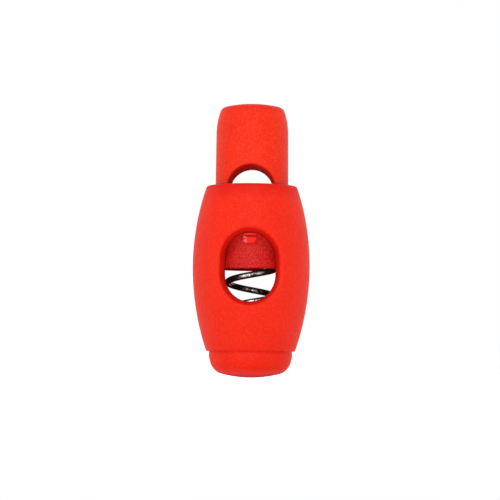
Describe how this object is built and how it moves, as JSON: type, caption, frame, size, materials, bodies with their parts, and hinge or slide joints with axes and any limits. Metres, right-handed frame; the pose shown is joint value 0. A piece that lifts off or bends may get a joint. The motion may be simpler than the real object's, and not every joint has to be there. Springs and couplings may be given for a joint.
{
  "type": "cord lock",
  "caption": "Barrel-shaped cord lock: a spring-loaded plunger with a cord hole slides in a moulded body with a cord window.",
  "frame": {"origin": "lowest point of the domed foot, on the axis of the bore", "axes": "+Z along the bore towards the press button, Y along the cord's way through the window, X across"},
  "size_m": [0.0128, 0.0122, 0.0301],
  "materials": {
    "body_plastic": "fine satin moulded red acetal",
    "plunger_plastic": "fine satin moulded red acetal, slightly coarser spark texture on the sliding face",
    "spring_steel": "dark drawn spring wire, semi-gloss"
  },
  "bodies": {
    "body": {"body": "body_plastic", "spring": "spring_steel"},
    "plunger": {"plunger": "plunger_plastic"}
  },
  "joints": [
    {"name": "plunger_press", "type": "slide", "parent": "body", "child": "plunger", "axis": [0, 0, -1], "range_m": [0, 0.0061], "stiffness_N_per_m": 4000, "springref_m": -0.001, "deforming": ["spring"]}
  ]
}
